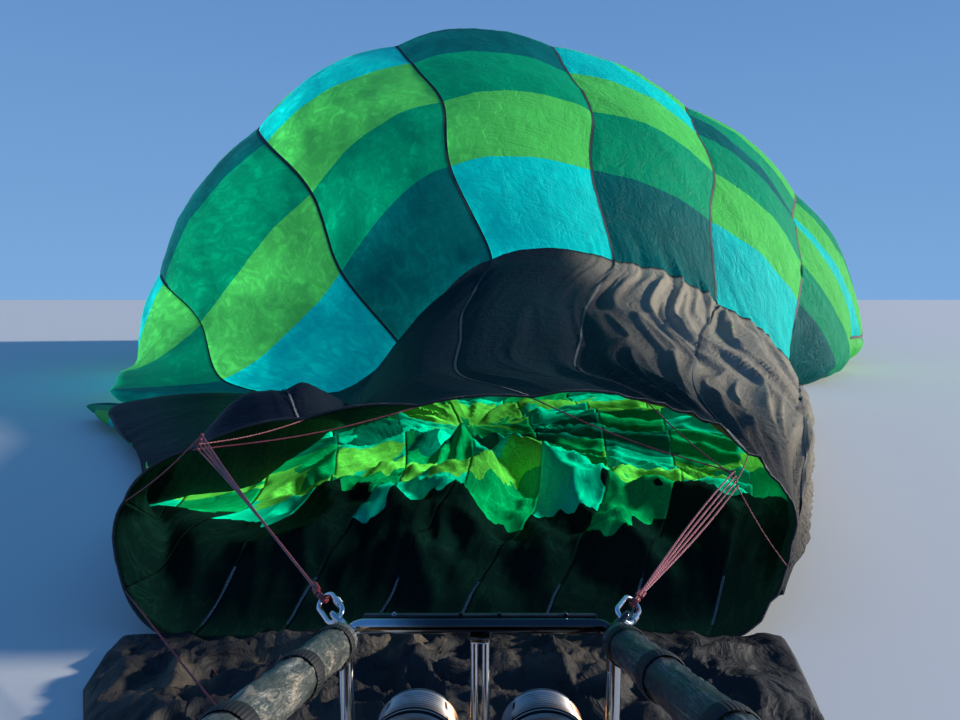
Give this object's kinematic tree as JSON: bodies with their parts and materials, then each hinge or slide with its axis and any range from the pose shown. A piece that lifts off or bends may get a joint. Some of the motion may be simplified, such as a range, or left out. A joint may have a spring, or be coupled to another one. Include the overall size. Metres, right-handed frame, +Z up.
{
  "type": "hot air balloon",
  "caption": "Hot air balloon lying on the ground, part filled with cold air, with its mouth facing the burners and its wicker basket on its side.",
  "frame": {"origin": "middle of the bounding box at ground level", "axes": "+Y from the basket to the crown along the envelope, +Z up, +X to the right when looking into the mouth"},
  "size_m": [15.3634, 24.7846, 6.892],
  "materials": {
    "gore_fabric_a": "coated nylon ripstop, teal",
    "gore_fabric_b": "coated nylon ripstop, green",
    "black_fabric": "fire-resistant black cloth",
    "valve_fabric": "coated nylon ripstop",
    "load_tape": "woven polyester tape",
    "cable_sheath": "braided maroon sheath",
    "sleeve_leather": "worn padded sleeve",
    "steel": "polished stainless steel",
    "can_steel": "heat-tinted stainless steel",
    "coil_steel": "heat-tinted tube",
    "brass_block": "machined brass",
    "lever_plastic": "moulded lever",
    "wicker": "woven willow",
    "basket_leather": "brown leather",
    "wood": "varnished plywood and ash",
    "cylinder_metal": "brushed aluminium"
  },
  "bodies": {
    "root": {"basket_floor": "wood", "basket_rim": "basket_leather", "basket_runner_lower": "wood", "basket_runner_upper": "wood", "basket_scuff_band": "basket_leather", "basket_wall_ground": "wicker", "basket_wall_left": "wicker", "basket_wall_right": "wicker", "basket_wall_upper": "wicker", "burner_frame": "steel", "cables_lower_left": "cable_sheath", "cables_lower_right": "cable_sheath", "cables_upper_left": "cable_sheath", "cables_upper_right": "cable_sheath", "carabiner_lower_left": "steel", "carabiner_lower_right": "steel", "carabiner_upper_left": "steel", "carabiner_upper_right": "steel", "crown_ring": "load_tape", "fuel_cylinder_lower_right": "cylinder_metal", "fuel_cylinder_upper_left": "cylinder_metal", "fuel_cylinder_upper_right": "cylinder_metal", "gore_01": "gore_fabric_a", "gore_02": "gore_fabric_b", "gore_03": "gore_fabric_a", "gore_04": "gore_fabric_b", "gore_05": "gore_fabric_a", "gore_06": "gore_fabric_b", "gore_07": "gore_fabric_a", "gore_08": "gore_fabric_b", "gore_09": "gore_fabric_a", "gore_10": "gore_fabric_b", "gore_11": "gore_fabric_a", "gore_12": "gore_fabric_b", "gore_13": "gore_fabric_a", "gore_14": "gore_fabric_b", "gore_15": "gore_fabric_a", "gore_16": "gore_fabric_b", "scoop": "black_fabric", "scoop_rail": "steel", "upright_lower_left": "sleeve_leather", "upright_lower_right": "sleeve_leather", "upright_upper_left": "sleeve_leather", "upright_upper_right": "sleeve_leather"},
    "gimbal": {"gimbal_posts": "steel"},
    "burner": {"blast_lever_left": "lever_plastic", "blast_lever_right": "lever_plastic", "burner_can_left": "can_steel", "burner_can_right": "can_steel", "burner_coil_left": "coil_steel", "burner_coil_right": "coil_steel", "burner_yoke": "steel", "valve_block_left": "brass_block", "valve_block_right": "brass_block"},
    "parachute": {"parachute_valve": "valve_fabric"}
  },
  "joints": [
    {"name": "gimbal_swing", "type": "hinge", "parent": "root", "child": "gimbal", "pos_m": [-0.8033, -10.3077, 0.425], "axis": [0, 0, 1], "range_deg": [-10, 10]},
    {"name": "burner_tilt", "type": "hinge", "parent": "gimbal", "child": "burner", "pos_m": [-0.8033, -10.3077, 0.425], "axis": [1, 0, 0], "range_deg": [-15, 15]},
    {"name": "parachute_slide", "type": "slide", "parent": "root", "child": "parachute", "axis": [0, -1, 0], "range_m": [0, 1]}
  ]
}
